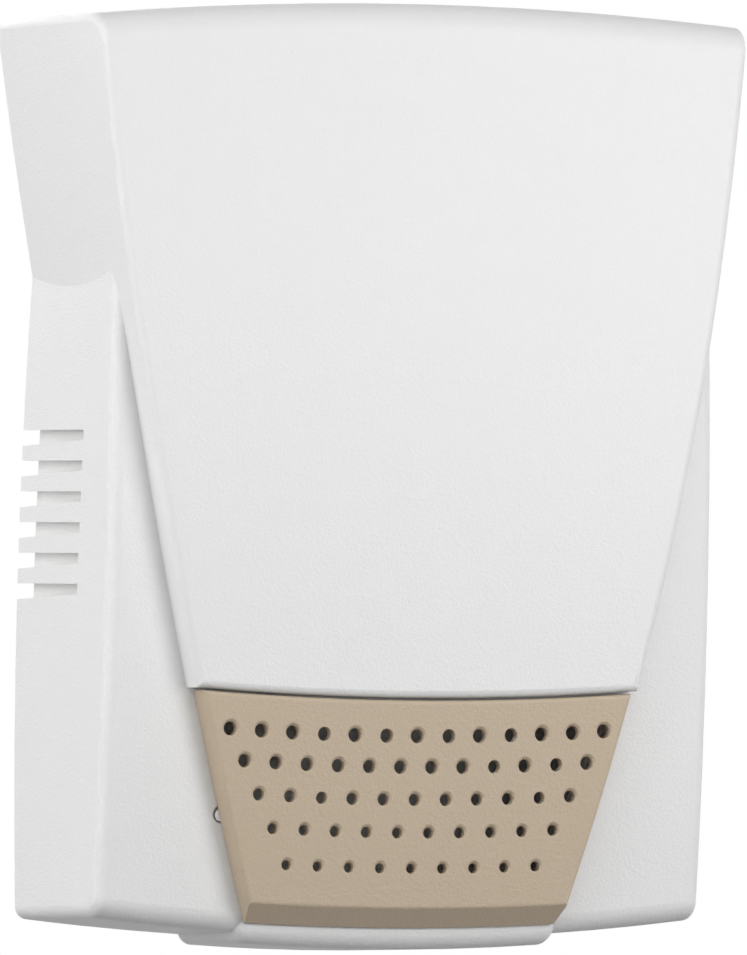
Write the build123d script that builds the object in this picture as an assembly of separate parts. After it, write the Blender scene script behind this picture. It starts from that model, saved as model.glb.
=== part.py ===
from build123d import *
from math import cos, pi, sin
import os

# Wall-mounted two-note door chime, millimetres.
# X runs to the right, Y into the wall and Z up. The wall is the plane y = 0.
# Heights below are counted from the lowest point of the cover, and depths from the wall.
# On export everything is lowered by datum_height, so that the origin is the middle of the wall face.

datum_height = 95.0
overrun = 12.0
touch = 0.05

# Centre body of the cover: half widths at its lower corner, at mid height and at its upper corner.
centre_low_height = 1.2
centre_mid_height = 108.3
centre_top_height = 185.4
centre_low_half_back = 33.7
centre_low_half_front = 33.5
centre_mid_half_back = 61.5
centre_mid_half_front = 61.0
centre_top_half_back = 74.4
centre_top_half_front = 71.7
centre_low_rise = 1.2
centre_top_rise = 3.4
side_crown = 1.2

# Side view of the raised panel: flat above, bent back along one arc below.
panel_depth = 44.2
panel_depth_low = 34.6
panel_bend_height = 134.6

# Housing behind the panel.
housing_low_height = 6.3
housing_mid_height = 70.4
housing_top_height = 159.4
housing_low_half_back = 70.3
housing_low_half_front = 65.8
housing_mid_half_back = 69.9
housing_mid_half_front = 66.5
housing_top_half_back = 64.4
housing_top_half_front = 66.0
housing_low_rise = 4.1
housing_top_rise = 1.0
housing_crown = 0.3
shoulder_depth = 38.6
shoulder_depth_low = 29.6
shoulder_bend_height = 127.7

# Moulding of the cover.
cover_wall = 2.0
top_round = 6.0
panel_round = 1.6
housing_corner_round = 2.6
housing_foot_round = 4.5
bump_end_round = 3.0
bump_foot_round = 4.2
panel_foot_height = 50.1
smile_radius = 670.0
rib_thickness = 1.4
rib_depth = 2.5
rib_spacing = 34.0
rib_low_height = 60.0
rib_top_gap = 9.4

# Comb slots in both sides of the cover, open at the wall.
slot_count = 6
slot_pitch = 6.13
slot_first_height = 102.2
slot_length = 26.1
slot_length_step = 0.35
slot_back_width = 3.2
slot_front_width = 2.0

# Grille: rows of holes from the top down, as (count, height, diameter).
grille_rows = [(13, 42.5, 2.8), (12, 36.3, 2.65), (11, 29.8, 2.4), (10, 23.2, 2.2), (9, 16.1, 2.0)]
hole_pitch = 6.9
hole_rim = 0.35
grille_inset = 1.2
grille_wall = 1.8
grille_recess = 0.3
grille_gap = 0.45
grille_foot_height = 4.3
grille_foot_chamfer = 4.0
grille_arris_round = 0.7
window_margin = 0.9
window_waist = 0.2

# Snap legs of the grille, and the catch holes beside it.
leg_width = 8.0
leg_thickness = 1.6
leg_spacing = 36.0
leg_hook = 1.1
leg_hook_length = 1.6
leg_clearance = 0.25
leg_top_height = 46.4
leg_low_height = 10.0
catch_hole_radius = 1.5
catch_hole_height = 26.6
catch_hole_x = 40.4
catch_hole_rim = 0.4

# Base plate.
base_gap = 1.6
base_floor = 2.5
base_wall = 1.8
base_rim_depth = 7.0
side_wall_depth = 28.0
side_wall_low_height = 60.0
side_wall_top_gap = 1.4
grip_gap = 0.12
grip_width = 3.0
grip_heights = [50.0, 120.0]
grip_spacing = 50.0
wall_slot_low_height = 55.0
wall_slot_top_gap = 20.4
wall_slot_radius = 2.3
wall_slot_length = 9.0
wall_slot_pad = 2.2
wall_slot_pad_depth = 1.2
cable_entry_radius = 8.0
cable_entry_height = 55.0
cable_entry_x = 22.0
cable_collar_wall = 1.6
cable_collar_depth = 1.5
floor_rib_depth = 2.0
floor_rib_half = 58.0
floor_rib_gap = 10.0

# Tone bars and their carriers.
bar_spacing = 100.0
bar_thickness = 3.0
bar_width = 24.0
bar_foot_height = 38.0
bar_top_gap = 7.4
note_ratio = 1.25
still_point_share = 0.224
bar_corner_round = 1.5
grommet_flange = 2.0
grommet_flange_radius = 5.0
grommet_neck_radius = 3.6
grommet_clearance = 0.05
bar_screw_radius = 1.7
bar_screw_head_radius = 3.6
bar_screw_head = 2.0
bar_screw_length = 12.5
post_width = 10.0
post_cover = 5.0

# Solenoid frame and coils.
axis_depth = 18.0
axis_spacing = 28.0
frame_half_length = 25.0
frame_thickness = 1.6
frame_back_depth = 5.0
frame_leg_depth = 30.0
frame_margin = 14.0
frame_bend = 2.4
frame_corner_round = 3.0
frame_ear_spacing = 30.0
frame_ear_length = 8.0
frame_ear_width = 10.0
frame_hole_clearance = 0.6
bobbin_flange_half = 11.0
bobbin_flange = 1.2
bobbin_corner_round = 3.0
bobbin_tube_wall = 1.1
bobbin_end_clearance = 0.1
coil_radius = 9.5
coil_edge_round = 1.0
boss_radius = 3.5

# Small screws of the frame, the terminals and the terminal block.
screw_radius = 1.5
screw_head_radius = 2.9
screw_head = 1.9
screw_bite = 4.0
screw_head_round = 0.7
drive_slot_width = 0.9
drive_slot_depth = 0.8

# Plungers, seen at rest.
core_radius = 4.0
core_clearance = 0.1
gap_low = 1.5
gap_high = 7.0
tip_length = 6.5
tip_radius = 3.5
tip_round = 2.6
tip_stem_radius = 1.8
tip_stem_length = 5.0
stem_clearance = 0.05
core_end_chamfer = 0.8
collar_radius = 6.0
collar_thickness = 1.2
collar_groove = 0.6
stop_washer = 2.0
stop_washer_radius = 7.5

# Return springs.
spring_wire_radius = 0.3
spring_radius = 4.95
spring_turns = 7
spring_length = 14.0
spring_end_pitch = 1.05

# Terminal block.
block_half_length = 24.0
block_gap = 3.0
block_width = 14.0
block_depth = 11.0
terminal_spacing = 15.0
terminal_rise = 6.5
barrier_width = 1.6
barrier_depth = 4.0
clamp_side = 9.0
clamp_thickness = 1.0
block_screw_x = 21.4
block_screw_radius = 0.9
block_screw_head_radius = 1.7
block_screw_head = 1.1

# Coil leads.
lead_radius = 0.6
lead_clearance = 0.05
lead_side = 19.0
lead_middle = 6.0
lead_jumper = 12.0
lead_space = 12.0
lead_knee_rise = 8.0
lead_foot_rise = 6.0
lead_bend = 7.0

# Places that follow from the sizes above.
wall_slot_heights = (wall_slot_low_height, centre_top_height - wall_slot_top_gap)
block_low_height = cable_entry_height + cable_entry_radius + block_gap
block_high_height = block_low_height + block_width
terminal_height = block_low_height + terminal_rise
frame_low = block_high_height + lead_space
rear_axis_height = frame_low + frame_margin
front_axis_height = rear_axis_height + axis_spacing
frame_high = front_axis_height + frame_margin
lead_knee_height = frame_low + lead_knee_rise
lead_foot_height = block_high_height + lead_foot_rise
bar_low_length = centre_top_height - bar_top_gap - bar_foot_height
bar_high_length = bar_low_length / note_ratio**0.5
bar_mid_height = bar_foot_height + bar_low_length / 2
bar_face = bar_spacing / 2
bar_back = bar_face + bar_thickness
post_face = bar_back + grommet_flange
spring_seat = frame_half_length
collar_near = spring_seat + spring_length
core_left = bar_face - gap_low - tip_length
core_right = bar_face - gap_high - tip_length
frame_face = frame_back_depth + frame_thickness
far_half = centre_top_half_back + overrun
far_height = centre_top_height + centre_top_rise + overrun
terminal_xs = [-terminal_spacing, 0, terminal_spacing]
block_screw_end = base_floor / 2


def at(x, depth, height):
    """Point at a distance from the centre line, a depth from the wall and a height."""
    return Vector(x, -depth, height)


def solid_box(xs, depths, heights):
    """Box between two limits on each axis."""
    size = [abs(b - a) for a, b in (xs, depths, heights)]
    middle = [(a + b) / 2 for a, b in (xs, depths, heights)]
    return Pos(at(*middle)) * Box(*size)


def rod_x(radius, x_from, x_to, height):
    """Cylinder along X on the depth of the mechanism's axes."""
    middle = at((x_from + x_to) / 2, axis_depth, height)
    return Pos(middle) * Rotation(0, 90, 0) * Cylinder(radius, abs(x_to - x_from))


def rod_y(radius, x, depth_from, depth_to, height):
    """Cylinder square to the wall."""
    middle = at(x, (depth_from + depth_to) / 2, height)
    return Pos(middle) * Rotation(90, 0, 0) * Cylinder(radius, abs(depth_to - depth_from))


def edges_where(shape, test):
    """Edges whose middle point, as distance from the centre, depth and height, passes a test."""
    found = []
    for edge in shape.edges():
        middle = edge.position_at(0.5)
        if test(abs(middle.X), -middle.Y, middle.Z):
            found.append(edge)
    return found


def both_sides(x_values):
    return [side * x for x in x_values for side in (-1, 1)]


def arc_outline(corners, low_rise, top_rise, depth):
    """Closed outline square to the wall, of four arcs through its corners and middles."""
    (low, low_z), (mid, mid_z), (top, top_z) = corners
    arcs = [
        (at(-low, depth, low_z), at(0, depth, low_z - low_rise), at(low, depth, low_z)),
        (at(low, depth, low_z), at(mid, depth, mid_z), at(top, depth, top_z)),
        (at(top, depth, top_z), at(0, depth, top_z + top_rise), at(-top, depth, top_z)),
        (at(-top, depth, top_z), at(-mid, depth, mid_z), at(-low, depth, low_z)),
    ]
    return Wire([Edge.make_three_point_arc(*points) for points in arcs])


def drafted_block(backs, fronts, heights, rises, depth, inset, crown):
    """Block whose outline changes from the wall to its full depth, crowned in plan."""
    low_z, mid_z, top_z = heights
    zs = (low_z + inset, mid_z, top_z - inset)
    sections = []
    for share in (-overrun / depth, 0.5, 1 + overrun / depth):
        bulge = crown * 4 * share * (1 - share)
        halves = [back + (front - back) * share + bulge - inset for back, front in zip(backs, fronts)]
        sections.append(arc_outline(list(zip(halves, zs)), *rises, depth * share))
    return Solid.make_loft(sections)


def centre_block(inset):
    """The centre body before its depth is trimmed."""
    backs = (centre_low_half_back, centre_mid_half_back, centre_top_half_back)
    fronts = (centre_low_half_front, centre_mid_half_front, centre_top_half_front)
    heights = (centre_low_height, centre_mid_height, centre_top_height)
    rises = (centre_low_rise, centre_top_rise)
    return drafted_block(backs, fronts, heights, rises, panel_depth, inset, side_crown)


def housing_block(inset):
    """The housing before its depth is trimmed."""
    backs = (housing_low_half_back, housing_mid_half_back, housing_top_half_back)
    fronts = (housing_low_half_front, housing_mid_half_front, housing_top_half_front)
    heights = (housing_low_height, housing_mid_height, housing_top_height)
    rises = (housing_low_rise, housing_top_rise)
    return drafted_block(backs, fronts, heights, rises, shoulder_depth, inset, housing_crown)


def bend_radius(depth, depth_low, bend_height):
    """Radius of the arc that leaves the flat front and reaches the low depth at height 0."""
    sag = depth - depth_low
    return (bend_height**2 + sag**2) / (2 * sag)


def front_depth(depth, depth_low, bend_height, height):
    """Depth of such a bent front at a height."""
    radius = bend_radius(depth, depth_low, bend_height)
    drop = max(bend_height - height, 0)
    return depth - radius + (radius**2 - drop**2) ** 0.5


def panel_at(height):
    return front_depth(panel_depth, panel_depth_low, panel_bend_height, height)


def shoulder_at(height):
    return front_depth(shoulder_depth, shoulder_depth_low, shoulder_bend_height, height)


def side_slab(depth, depth_low, bend_height, inset, back):
    """Slab between the back plane and a front that is flat above and bent back below."""
    foot = at(0, front_depth(depth, depth_low, bend_height, -overrun) - inset, -overrun)
    bend = at(0, depth - inset, bend_height)
    head = at(0, depth - inset, far_height)
    back_foot = at(0, back, -overrun)
    back_head = at(0, back, far_height)
    outline = [
        Edge.make_line(back_head, head),
        Edge.make_line(head, bend),
        Edge.make_tangent_arc(bend, Vector(0, 0, -1), foot),
        Edge.make_line(foot, back_foot),
        Edge.make_line(back_foot, back_head),
    ]
    face = Pos(-far_half, 0, 0) * Face(Wire(outline))
    return Solid.extrude(face, Vector(2 * far_half, 0, 0))


def panel_slab(inset, back):
    return side_slab(panel_depth, panel_depth_low, panel_bend_height, inset, back)


def shoulder_slab(inset, back):
    return side_slab(shoulder_depth, shoulder_depth_low, shoulder_bend_height, inset, back)


def smile_lift(x):
    """Rise of the grille's arcs at a distance from the centre line."""
    return smile_radius - (smile_radius**2 - x**2) ** 0.5


def below_smile(height):
    """Everything below an arc that rises towards both sides."""
    near = panel_depth + overrun
    lifted = height + smile_lift(far_half)
    corners = [at(far_half, near, -overrun), at(-far_half, near, -overrun)]
    left, right = at(-far_half, near, lifted), at(far_half, near, lifted)
    outline = [
        Edge.make_three_point_arc(left, at(0, near, height), right),
        Edge.make_line(right, corners[0]),
        Edge.make_line(*corners),
        Edge.make_line(corners[1], left),
    ]
    return Solid.extrude(Face(Wire(outline)), Vector(0, near + overrun, 0))


def cover_form(inset, back):
    """Centre body and housing of the cover, without rounding."""
    centre = centre_block(inset) & panel_slab(inset, back)
    centre -= below_smile(panel_foot_height + inset) - shoulder_slab(inset, -2 * overrun)
    housing = housing_block(inset) & shoulder_slab(inset, back)
    return centre, housing


def rounded_cover(inset, back):
    """Cover form with its edges rounded, the radii less by the inset."""
    centre, housing = cover_form(inset, back)
    near = cover_wall / 2
    foot_depth = shoulder_at(0) - inset
    top_height = centre_top_height + centre_top_rise - inset
    panel_foot = panel_foot_height + inset

    def on_top(x, depth, height):
        return height > top_height - near and depth > panel_depth - inset - near

    def on_bump_foot(x, depth, height):
        return height < centre_low_height + inset and x < near and depth > foot_depth - 2 * near

    def on_bump_end(x, depth, height):
        low = height < centre_low_height + inset + near
        return low and x > centre_low_half_front / 2 and depth < foot_depth - 2 * near

    def on_panel_edge(x, depth, height):
        on_front = abs(depth - panel_at(height) + inset) < near / 2
        on_rim = x > centre_low_half_front or height < panel_foot + near
        return on_front and on_rim and panel_foot - near < height < top_height - top_round

    def on_housing_foot(x, depth, height):
        return x < near and depth > foot_depth - 2 * near and height < housing_low_height

    def on_housing_corner(x, depth, height):
        low = height < housing_low_height + inset + near and near < depth < foot_depth - near
        return low and x > housing_mid_half_back / 2

    centre = fillet(edges_where(centre, on_top), top_round - inset)
    centre = fillet(edges_where(centre, on_bump_foot), bump_foot_round - inset)
    centre = fillet(edges_where(centre, on_bump_end), bump_end_round - inset)
    if panel_round > inset:
        centre = fillet(edges_where(centre, on_panel_edge), panel_round - inset)
    housing = fillet(edges_where(housing, on_housing_foot), housing_foot_round - inset)
    housing = fillet(edges_where(housing, on_housing_corner), housing_corner_round - inset)
    return centre + housing


def slot_cutters():
    """Comb slots that widen towards the wall, where they are open."""
    cutters = []
    for step in range(slot_count):
        middle = slot_first_height - step * slot_pitch
        length = slot_length - step * slot_length_step
        points = [
            at(-far_half, -overrun, middle + slot_back_width / 2),
            at(-far_half, 0, middle + slot_back_width / 2),
            at(-far_half, length, middle + slot_front_width / 2),
            at(-far_half, length, middle - slot_front_width / 2),
            at(-far_half, 0, middle - slot_back_width / 2),
            at(-far_half, -overrun, middle - slot_back_width / 2),
        ]
        face = Face(Wire.make_polygon(points))
        cutters.append(Solid.extrude(face, Vector(2 * far_half, 0, 0)))
    return cutters


def row_corner(row, margin):
    """Half width and height of the outermost hole of a row, with a margin."""
    count, height, diameter = grille_rows[row]
    half = (count - 1) / 2 * hole_pitch
    return half + diameter / 2 + hole_rim + margin, height + smile_lift(half)


def window_cutter():
    """Window behind the grille, drawn in with the rows of holes, with notches for the snap legs."""
    top_half, top_z = row_corner(0, window_margin)
    mid_half, mid_z = row_corner(len(grille_rows) // 2, window_margin + window_waist)
    low_half, low_z = row_corner(-1, window_margin)
    top_z += grille_rows[0][2] / 2 + hole_rim + window_margin
    low_z -= grille_rows[-1][2] / 2 + hole_rim + window_margin
    corners = [(low_half, low_z), (mid_half, mid_z), (top_half, top_z)]
    near = panel_depth + overrun
    outline = arc_outline(corners, smile_lift(low_half), -smile_lift(top_half), near)
    window = Solid.extrude(Face(outline), Vector(0, panel_depth, 0))
    depths = (overrun, near)
    for x in both_sides([leg_spacing / 2]):
        half = leg_width / 2 + leg_clearance
        xs = (x - half, x + half)
        window += solid_box(xs, depths, (mid_z, leg_top_height + leg_thickness + leg_clearance))
        window += solid_box(xs, depths, (leg_low_height - leg_clearance, mid_z))
    return window


def widened_rim(radius, rim, x, face, height):
    """Cone that widens a hole by its rim at a front face."""
    cone = Cone(radius, radius + 2 * rim, 2 * rim)
    return Pos(at(x, face, height)) * Rotation(90, 0, 0) * cone


def make_cover_shell():
    shell = rounded_cover(0, 0) - rounded_cover(cover_wall, -overrun)
    for cutter in slot_cutters():
        shell -= cutter
    shell -= window_cutter()
    face = shoulder_at(catch_hole_height)
    for x in both_sides([catch_hole_x]):
        hole = rod_y(catch_hole_radius, x, overrun, face + overrun, catch_hole_height)
        shell -= hole + widened_rim(catch_hole_radius, catch_hole_rim, x, face, catch_hole_height)
    for x in both_sides([rib_spacing / 2]):
        xs = (x - rib_thickness / 2, x + rib_thickness / 2)
        rib = solid_box(xs, (overrun, panel_depth), (rib_low_height, centre_top_height - rib_top_gap))
        rib &= panel_slab(cover_wall / 2, 0)
        shell += rib - panel_slab(cover_wall + rib_depth, -overrun)
    return shell


def grille_block(inset):
    """Outer form of the grille at inset 0, and the hollow behind it at the wall's inset."""
    block = centre_block(grille_inset + inset) & panel_slab(grille_recess + inset, 0)
    block &= below_smile(panel_foot_height - grille_gap - inset)
    block -= below_smile(grille_foot_height + inset)
    back = overrun if inset else -touch
    block -= shoulder_slab(back, -overrun)
    foot = grille_foot_height + inset
    near = grille_wall / 2

    def on_foot(x, depth, height):
        return x < near and abs(height - foot) < near and depth > panel_at(foot) - inset - 2 * near

    return chamfer(edges_where(block, on_foot), grille_foot_chamfer - inset * (2 - 2**0.5))


def hole_places():
    """Holes of the grille as radius, distance from the centre line, depth of the face and height."""
    places = []
    for count, row_height, diameter in grille_rows:
        for index in range(count):
            x = (index - (count - 1) / 2) * hole_pitch
            height = row_height + smile_lift(x)
            places.append((diameter / 2, x, panel_at(height) - grille_recess, height))
    return places


def snap_leg(x, height, outward):
    """Leg behind the grille's face with a hook behind the floor of the cover."""
    outer = height + (leg_thickness if outward > 0 else 0)
    floor_back = shoulder_at(outer) - cover_wall
    hook_depths = (floor_back - leg_clearance - leg_hook_length, floor_back - leg_clearance)
    xs = (x - leg_width / 2, x + leg_width / 2)
    root = panel_at(height) - grille_recess - grille_wall / 2
    leg = solid_box(xs, (hook_depths[0], root), (height, height + leg_thickness))
    inner = outer - outward * leg_thickness / 2
    hook = solid_box(xs, hook_depths, (inner, outer + outward * leg_hook))

    def on_nose(x, depth, z):
        return abs(z - outer - outward * leg_hook) < touch and depth < hook_depths[0] + touch

    return leg + chamfer(edges_where(hook, on_nose), leg_hook * 3 / 4)


def make_grille():
    shell = grille_block(0)
    near = grille_wall / 4
    row_low = grille_rows[-1][1] - grille_rows[-1][2]

    def on_front(x, depth, height):
        on_face = abs(depth - panel_at(height) + grille_recess) < near
        return on_face and (x > near or height > panel_foot_height - 2 * grille_wall or height < row_low)

    shell = fillet(edges_where(shell, on_front), grille_arris_round)
    shell -= grille_block(grille_wall)
    for x in both_sides([leg_spacing / 2]):
        shell += snap_leg(x, leg_top_height, 1)
        shell += snap_leg(x, leg_low_height, -1)
    for radius, x, face, height in hole_places():
        shell -= rod_y(radius, x, face - overrun / 2, face + overrun, height)
    for radius, x, face, height in hole_places():
        shell -= widened_rim(radius, hole_rim, x, face, height)
    return shell


def base_form(inset, depth_from, depth_to):
    """Outline of the cover at an inset, between two depths."""
    trim = solid_box((-far_half, far_half), (depth_from, depth_to), (-overrun, far_height))
    return (centre_block(inset) & trim) + (housing_block(inset) & trim)


def grip_ribs(form):
    """Ribs round the base plate on which the cover grips."""
    boxes = []
    for height in grip_heights:
        for side in (-1, 1):
            xs = sorted((side * centre_mid_half_front, side * far_half))
            heights = (height - grip_width / 2, height + grip_width / 2)
            boxes.append(solid_box(xs, (0, base_rim_depth), heights))
    for x in both_sides([grip_spacing / 2]):
        xs = (x - grip_width / 2, x + grip_width / 2)
        top = centre_top_height - base_gap - 2 * cover_wall
        foot = centre_low_height + base_gap + 2 * cover_wall
        boxes.append(solid_box(xs, (0, base_rim_depth), (top, far_height)))
        boxes.append(solid_box(xs, (0, base_rim_depth), (-overrun, foot)))
    hollow = base_form(cover_wall + base_gap + base_wall / 2, -overrun, side_wall_depth + overrun)
    return [(box & form) - hollow for box in boxes]


def wall_slot(height, radius, depth_from, depth_to):
    """Upright slot with round ends, square to the wall."""
    half = wall_slot_length / 2 - wall_slot_radius
    slot = solid_box((-radius, radius), (depth_from, depth_to), (height - half, height + half))
    for end in (-half, half):
        slot += rod_y(radius, 0, depth_from, depth_to, height + end)
    return slot


def bar_list():
    """Tone bars as (node, side, length)."""
    return [("tone_bar_low", -1, bar_low_length), ("tone_bar_high", 1, bar_high_length)]


def still_points(length):
    """Heights at which a bar of a length is carried."""
    reach = length * (0.5 - still_point_share)
    return [bar_mid_height - reach, bar_mid_height + reach]


def bar_posts(outer):
    """Posts beside the tone bars, grown out of the side walls."""
    posts = []
    for _, side, length in bar_list():
        for height in still_points(length):
            xs = sorted((side * post_face, side * far_half))
            heights = (height - post_width / 2, height + post_width / 2)
            post = solid_box(xs, (base_floor / 2, axis_depth + post_cover), heights) & outer
            screw_end = side * (bar_face - grommet_flange + bar_screw_length)
            posts.append(post - rod_x(bar_screw_radius, 0, screw_end, height))
    return posts


def frame_screw_places():
    """Middles of the frame's ears, as distance from the centre line and height."""
    reach = frame_ear_length / 2
    heights = (frame_low - reach, frame_high + reach)
    return [(x, height) for x in both_sides([frame_ear_spacing / 2]) for height in heights]


def make_base_plate():
    inset = cover_wall + base_gap
    outer = base_form(inset, 0, side_wall_depth)
    hollow = base_form(inset + base_wall, base_floor, side_wall_depth + overrun)
    plate = outer - hollow
    rim = (base_rim_depth, side_wall_depth + overrun)
    wide = (-far_half, far_half)
    plate -= solid_box(wide, rim, (-overrun, side_wall_low_height))
    plate -= solid_box(wide, rim, (housing_top_height - side_wall_top_gap, far_height))
    for rib in grip_ribs(base_form(cover_wall + grip_gap, 0, base_rim_depth)):
        plate += rib
    for post in bar_posts(outer):
        plate += post
    for height in [slot_height - floor_rib_gap for slot_height in wall_slot_heights]:
        heights = (height - base_wall / 2, height + base_wall / 2)
        depths = (base_floor / 2, base_floor + floor_rib_depth)
        plate += solid_box((-floor_rib_half, floor_rib_half), depths, heights)
    for x, height in frame_screw_places():
        plate += rod_y(boss_radius, x, base_floor / 2, frame_back_depth, height)
        plate -= rod_y(screw_radius, x, frame_face - screw_bite, frame_back_depth + overrun, height)
    collar_front = base_floor + cable_collar_depth
    collar_radius_outer = cable_entry_radius + cable_collar_wall
    plate += rod_y(collar_radius_outer, cable_entry_x, base_floor / 2, collar_front, cable_entry_height)
    plate -= rod_y(cable_entry_radius, cable_entry_x, -overrun, collar_front + overrun, cable_entry_height)
    for x in both_sides([block_screw_x]):
        plate -= rod_y(block_screw_radius, x, block_screw_end, base_floor + overrun, terminal_height)
    for height in wall_slot_heights:
        pad_front = base_floor + wall_slot_pad_depth
        plate += wall_slot(height, wall_slot_radius + wall_slot_pad, base_floor / 2, pad_front)
        plate -= wall_slot(height, wall_slot_radius, -overrun, pad_front + overrun)
    return plate


def make_tone_bar(side, length):
    xs = sorted((side * bar_face, side * bar_back))
    depths = (axis_depth - bar_width / 2, axis_depth + bar_width / 2)
    bar = solid_box(xs, depths, (bar_mid_height - length / 2, bar_mid_height + length / 2))
    bar = fillet(bar.edges().filter_by(Axis.X), bar_corner_round)
    for height in still_points(length):
        bar -= rod_x(grommet_neck_radius, 0, side * (bar_back + overrun), height)
    return bar


def make_grommet(side, height):
    inner, outer = bar_face - grommet_flange, post_face
    ring = rod_x(grommet_flange_radius, side * inner, side * bar_face, height)
    ring += rod_x(grommet_neck_radius, side * bar_face, side * bar_back, height)
    ring += rod_x(grommet_flange_radius, side * bar_back, side * outer, height)
    return ring - rod_x(bar_screw_radius + grommet_clearance, side * inner, side * outer, height)


def make_bar_screw(side, height):
    seat = bar_face - grommet_flange
    head = rod_x(bar_screw_head_radius, side * (seat - bar_screw_head), side * seat, height)
    top = side * (seat - bar_screw_head)
    head = fillet(head.edges().sort_by(Axis.X)[0 if side > 0 else -1], screw_head_round)
    slot_xs = sorted((top, top + side * drive_slot_depth))
    slot_depths = (axis_depth - bar_width / 2, axis_depth + bar_width / 2)
    slot_heights = (height - drive_slot_width / 2, height + drive_slot_width / 2)
    head -= solid_box(slot_xs, slot_depths, slot_heights)
    return head + rod_x(bar_screw_radius, side * seat, side * (seat + bar_screw_length), height)


def pan_screw(x, height, seat_depth, radius, head_radius, head_height, length):
    """Screw square to the wall, its head on a seat."""
    head = rod_y(head_radius, x, seat_depth, seat_depth + head_height, height)
    head = fillet(head.edges().sort_by(Axis.Y)[0], min(screw_head_round, head_height / 2))
    top = seat_depth + head_height
    slot_depths = (top - min(drive_slot_depth, head_height / 2), top + overrun)
    slot_heights = (height - drive_slot_width / 2, height + drive_slot_width / 2)
    head -= solid_box((x - head_radius, x + head_radius), slot_depths, slot_heights)
    return head + rod_y(radius, x, seat_depth - length, seat_depth, height)


def make_solenoid_frame():
    half, inner = frame_half_length, frame_half_length - frame_thickness
    heights = (frame_low, frame_high)
    channel = solid_box((-half, half), (frame_back_depth, frame_leg_depth), heights)
    channel -= solid_box((-inner, inner), (frame_face, frame_leg_depth + overrun), heights)

    def on_bend(x, depth, height):
        return abs(depth - frame_back_depth) < touch and abs(x - half) < touch

    def on_inner_bend(x, depth, height):
        return abs(depth - frame_face) < touch and abs(x - inner) < touch

    def on_leg_tip(x, depth, height):
        at_end = min(abs(height - frame_low), abs(height - frame_high)) < touch
        return at_end and abs(depth - frame_leg_depth) < touch

    channel = fillet(edges_where(channel, on_bend), frame_bend)
    channel = fillet(edges_where(channel, on_inner_bend), frame_bend - frame_thickness)
    channel = fillet(edges_where(channel, on_leg_tip), frame_corner_round)
    for height in (front_axis_height, rear_axis_height):
        channel -= rod_x(core_radius + frame_hole_clearance, -far_half, far_half, height)
    for x, height in frame_screw_places():
        xs = (x - frame_ear_width / 2, x + frame_ear_width / 2)
        heights = (height - frame_ear_length / 2, height + frame_ear_length / 2)
        ear = solid_box(xs, (frame_back_depth, frame_face), heights)
        outward = ear.edges().filter_by(Axis.Y).sort_by(Axis.Z)
        picked = outward[-2:] if height > front_axis_height else outward[:2]
        channel += fillet(picked, frame_corner_round)
        channel -= rod_y(screw_radius, x, 0, frame_face + overrun, height)
    return channel


def make_bobbin(height):
    end = frame_half_length - frame_thickness - bobbin_end_clearance
    tube_radius = core_radius + core_clearance + bobbin_tube_wall
    bobbin = rod_x(tube_radius, -end, end, height)
    for side in (-1, 1):
        xs = sorted((side * (end - bobbin_flange), side * end))
        depths = (axis_depth - bobbin_flange_half, axis_depth + bobbin_flange_half)
        flange = solid_box(xs, depths, (height - bobbin_flange_half, height + bobbin_flange_half))
        bobbin += fillet(flange.edges().filter_by(Axis.X), bobbin_corner_round)
    return bobbin - rod_x(core_radius + core_clearance, -far_half, far_half, height)


def make_coil(height):
    end = frame_half_length - frame_thickness - bobbin_end_clearance - bobbin_flange
    coil = rod_x(coil_radius, -end, end, height)
    coil = fillet(coil.edges().filter_by(GeomType.CIRCLE), coil_edge_round)
    return coil - rod_x(core_radius + core_clearance + bobbin_tube_wall, -far_half, far_half, height)


def ring_groove(x_from, height):
    """Groove of a core in which a collar sits."""
    ring = rod_x(core_radius + overrun / 4, x_from, x_from + collar_thickness, height)
    return ring - rod_x(core_radius - collar_groove, x_from - overrun, x_from + overrun, height)


def make_collar(x_from, height):
    collar = rod_x(collar_radius, x_from, x_from + collar_thickness, height)
    return collar - rod_x(core_radius - collar_groove, x_from - overrun, x_from + overrun, height)


def make_core(height, tipped_ends, grooves):
    core = rod_x(core_radius, -core_left, core_right, height)
    core = chamfer(core.edges().filter_by(GeomType.CIRCLE), core_end_chamfer)
    for side in tipped_ends:
        end = core_right if side > 0 else core_left
        bore_end = side * (end - tip_stem_length - stem_clearance)
        core -= rod_x(tip_stem_radius + stem_clearance, bore_end, side * (end + overrun), height)
    for x_from in grooves:
        core -= ring_groove(x_from, height)
    return core


def make_tip(side, height):
    end = core_right if side > 0 else core_left
    tip = rod_x(tip_radius, side * end, side * (end + tip_length), height)
    nose = tip.edges().filter_by(GeomType.CIRCLE).sort_by(Axis.X)[-1 if side > 0 else 0]
    tip = fillet(nose, tip_round)
    return tip + rod_x(tip_stem_radius, side * (end - tip_stem_length), side * end, height)


def spring_point(turn, height):
    """Point and direction of the spring's wire after a number of turns from its fixed end."""
    travel = spring_length - 2 * spring_wire_radius - 2 * touch
    pinch = travel - spring_end_pitch * spring_turns
    phase = 2 * pi * turn / spring_turns
    along = travel * turn / spring_turns - pinch * sin(phase) / (2 * pi)
    rate = (travel - pinch * cos(phase)) / spring_turns
    angle = 2 * pi * turn
    x = -spring_seat - touch - spring_wire_radius - along
    point = at(x, axis_depth + spring_radius * cos(angle), height + spring_radius * sin(angle))
    across = 2 * pi * spring_radius
    direction = Vector(-rate, across * sin(angle), across * cos(angle))
    return point, direction.normalized()


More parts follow.
